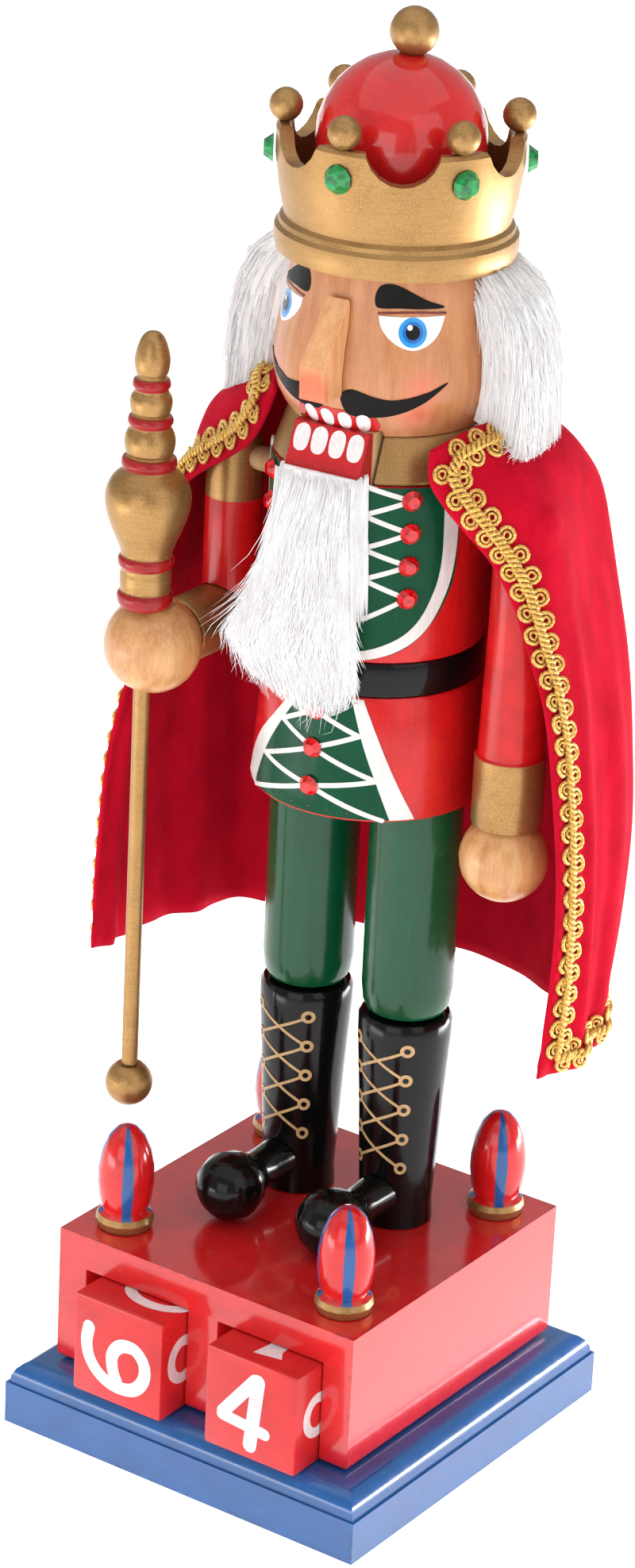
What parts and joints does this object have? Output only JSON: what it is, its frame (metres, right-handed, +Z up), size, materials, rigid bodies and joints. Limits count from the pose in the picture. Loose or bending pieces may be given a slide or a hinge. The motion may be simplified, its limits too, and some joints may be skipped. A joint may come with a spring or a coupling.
{
  "type": "nutcracker figure",
  "caption": "Wooden nutcracker king with moving jaw, fur hair and beard, velvet cape and sceptre, standing on a countdown box with loose number cubes.",
  "frame": {"origin": "middle of the plinth's underside", "axes": "+Z up, the front of the figure and of the cube pockets faces -Y, +X is the figure's left"},
  "size_m": [0.142, 0.1285, 0.405],
  "materials": {
    "red_paint": "gloss red paint on turned wood",
    "green_paint": "gloss green paint on turned wood",
    "blue_paint": "satin blue paint on wood",
    "black_paint": "gloss black paint on turned wood",
    "gold_paint": "antique gold paint on wood",
    "clear_lacquered_wood": "clear gloss lacquer",
    "bare_wood": "bare wood",
    "pin_steel": "plain steel pin",
    "white_fur": "white long-pile faux fur",
    "red_velvet": "red velvet with gold braid",
    "green_glass": "cut green stone",
    "red_glass": "cut red stone"
  },
  "bodies": {
    "figure_and_base": {"plinth": "blue_paint", "calendar_box": "red_paint", "finial_front_right": "red_paint", "finial_front_left": "red_paint", "finial_back_right": "red_paint", "finial_back_left": "red_paint", "boot_right": "black_paint", "boot_toe_right": "black_paint", "trouser_leg_right": "green_paint", "leg_dowel_right": "bare_wood", "boot_left": "black_paint", "boot_toe_left": "black_paint", "trouser_leg_left": "green_paint", "leg_dowel_left": "bare_wood", "coat_skirt": "red_paint", "belt": "black_paint", "tunic": "red_paint", "collar": "gold_paint", "jaw_pin": "pin_steel", "head": "clear_lacquered_wood", "neck_dowel": "bare_wood", "nose": "clear_lacquered_wood", "hair": "white_fur", "crown": "gold_paint", "crown_dome": "red_paint", "crown_top_ball": "gold_paint", "crown_gem_1": "green_glass", "crown_gem_2": "green_glass", "crown_gem_3": "green_glass", "crown_gem_4": "green_glass", "crown_gem_5": "green_glass", "crown_gem_6": "green_glass", "tunic_gem_right_1": "red_glass", "tunic_gem_right_2": "red_glass", "tunic_gem_right_3": "red_glass", "tunic_gem_right_4": "red_glass", "tunic_gem_left_1": "red_glass", "tunic_gem_left_2": "red_glass", "tunic_gem_left_3": "red_glass", "tunic_gem_left_4": "red_glass", "skirt_gem_1": "red_glass", "skirt_gem_2": "red_glass", "skirt_gem_3": "red_glass", "shoulder_dowel_right": "bare_wood", "shoulder_dowel_left": "bare_wood", "upper_arm_right": "red_paint", "forearm_right": "gold_paint", "hand_right": "clear_lacquered_wood", "arm_left": "red_paint", "hand_left": "clear_lacquered_wood", "cape": "red_velvet"},
    "jaw": {"jaw_lever": "bare_wood", "beard": "white_fur"},
    "tens_cube": {"number_cube_tens": "red_paint"},
    "units_cube": {"number_cube_units": "red_paint"},
    "sceptre": {"sceptre_head": "gold_paint", "sceptre_rod": "gold_paint", "sceptre_ball": "gold_paint"}
  },
  "joints": [
    {"name": "jaw_hinge", "type": "hinge", "parent": "figure_and_base", "child": "jaw", "pos_m": [-0.00039, 0.02198, 0.266], "axis": [0.9969, 0.0785, 0], "range_deg": [0, 20], "deforming": ["beard"]},
    {"name": "tens_cube_slide", "type": "slide", "parent": "figure_and_base", "child": "tens_cube", "axis": [0, -1, 0], "range_m": [0, 0.04]},
    {"name": "units_cube_slide", "type": "slide", "parent": "figure_and_base", "child": "units_cube", "axis": [0, -1, 0], "range_m": [0, 0.04]},
    {"name": "sceptre_slide", "type": "slide", "parent": "figure_and_base", "child": "sceptre", "axis": [0, 0, 1], "range_m": [0, 0.105]}
  ]
}
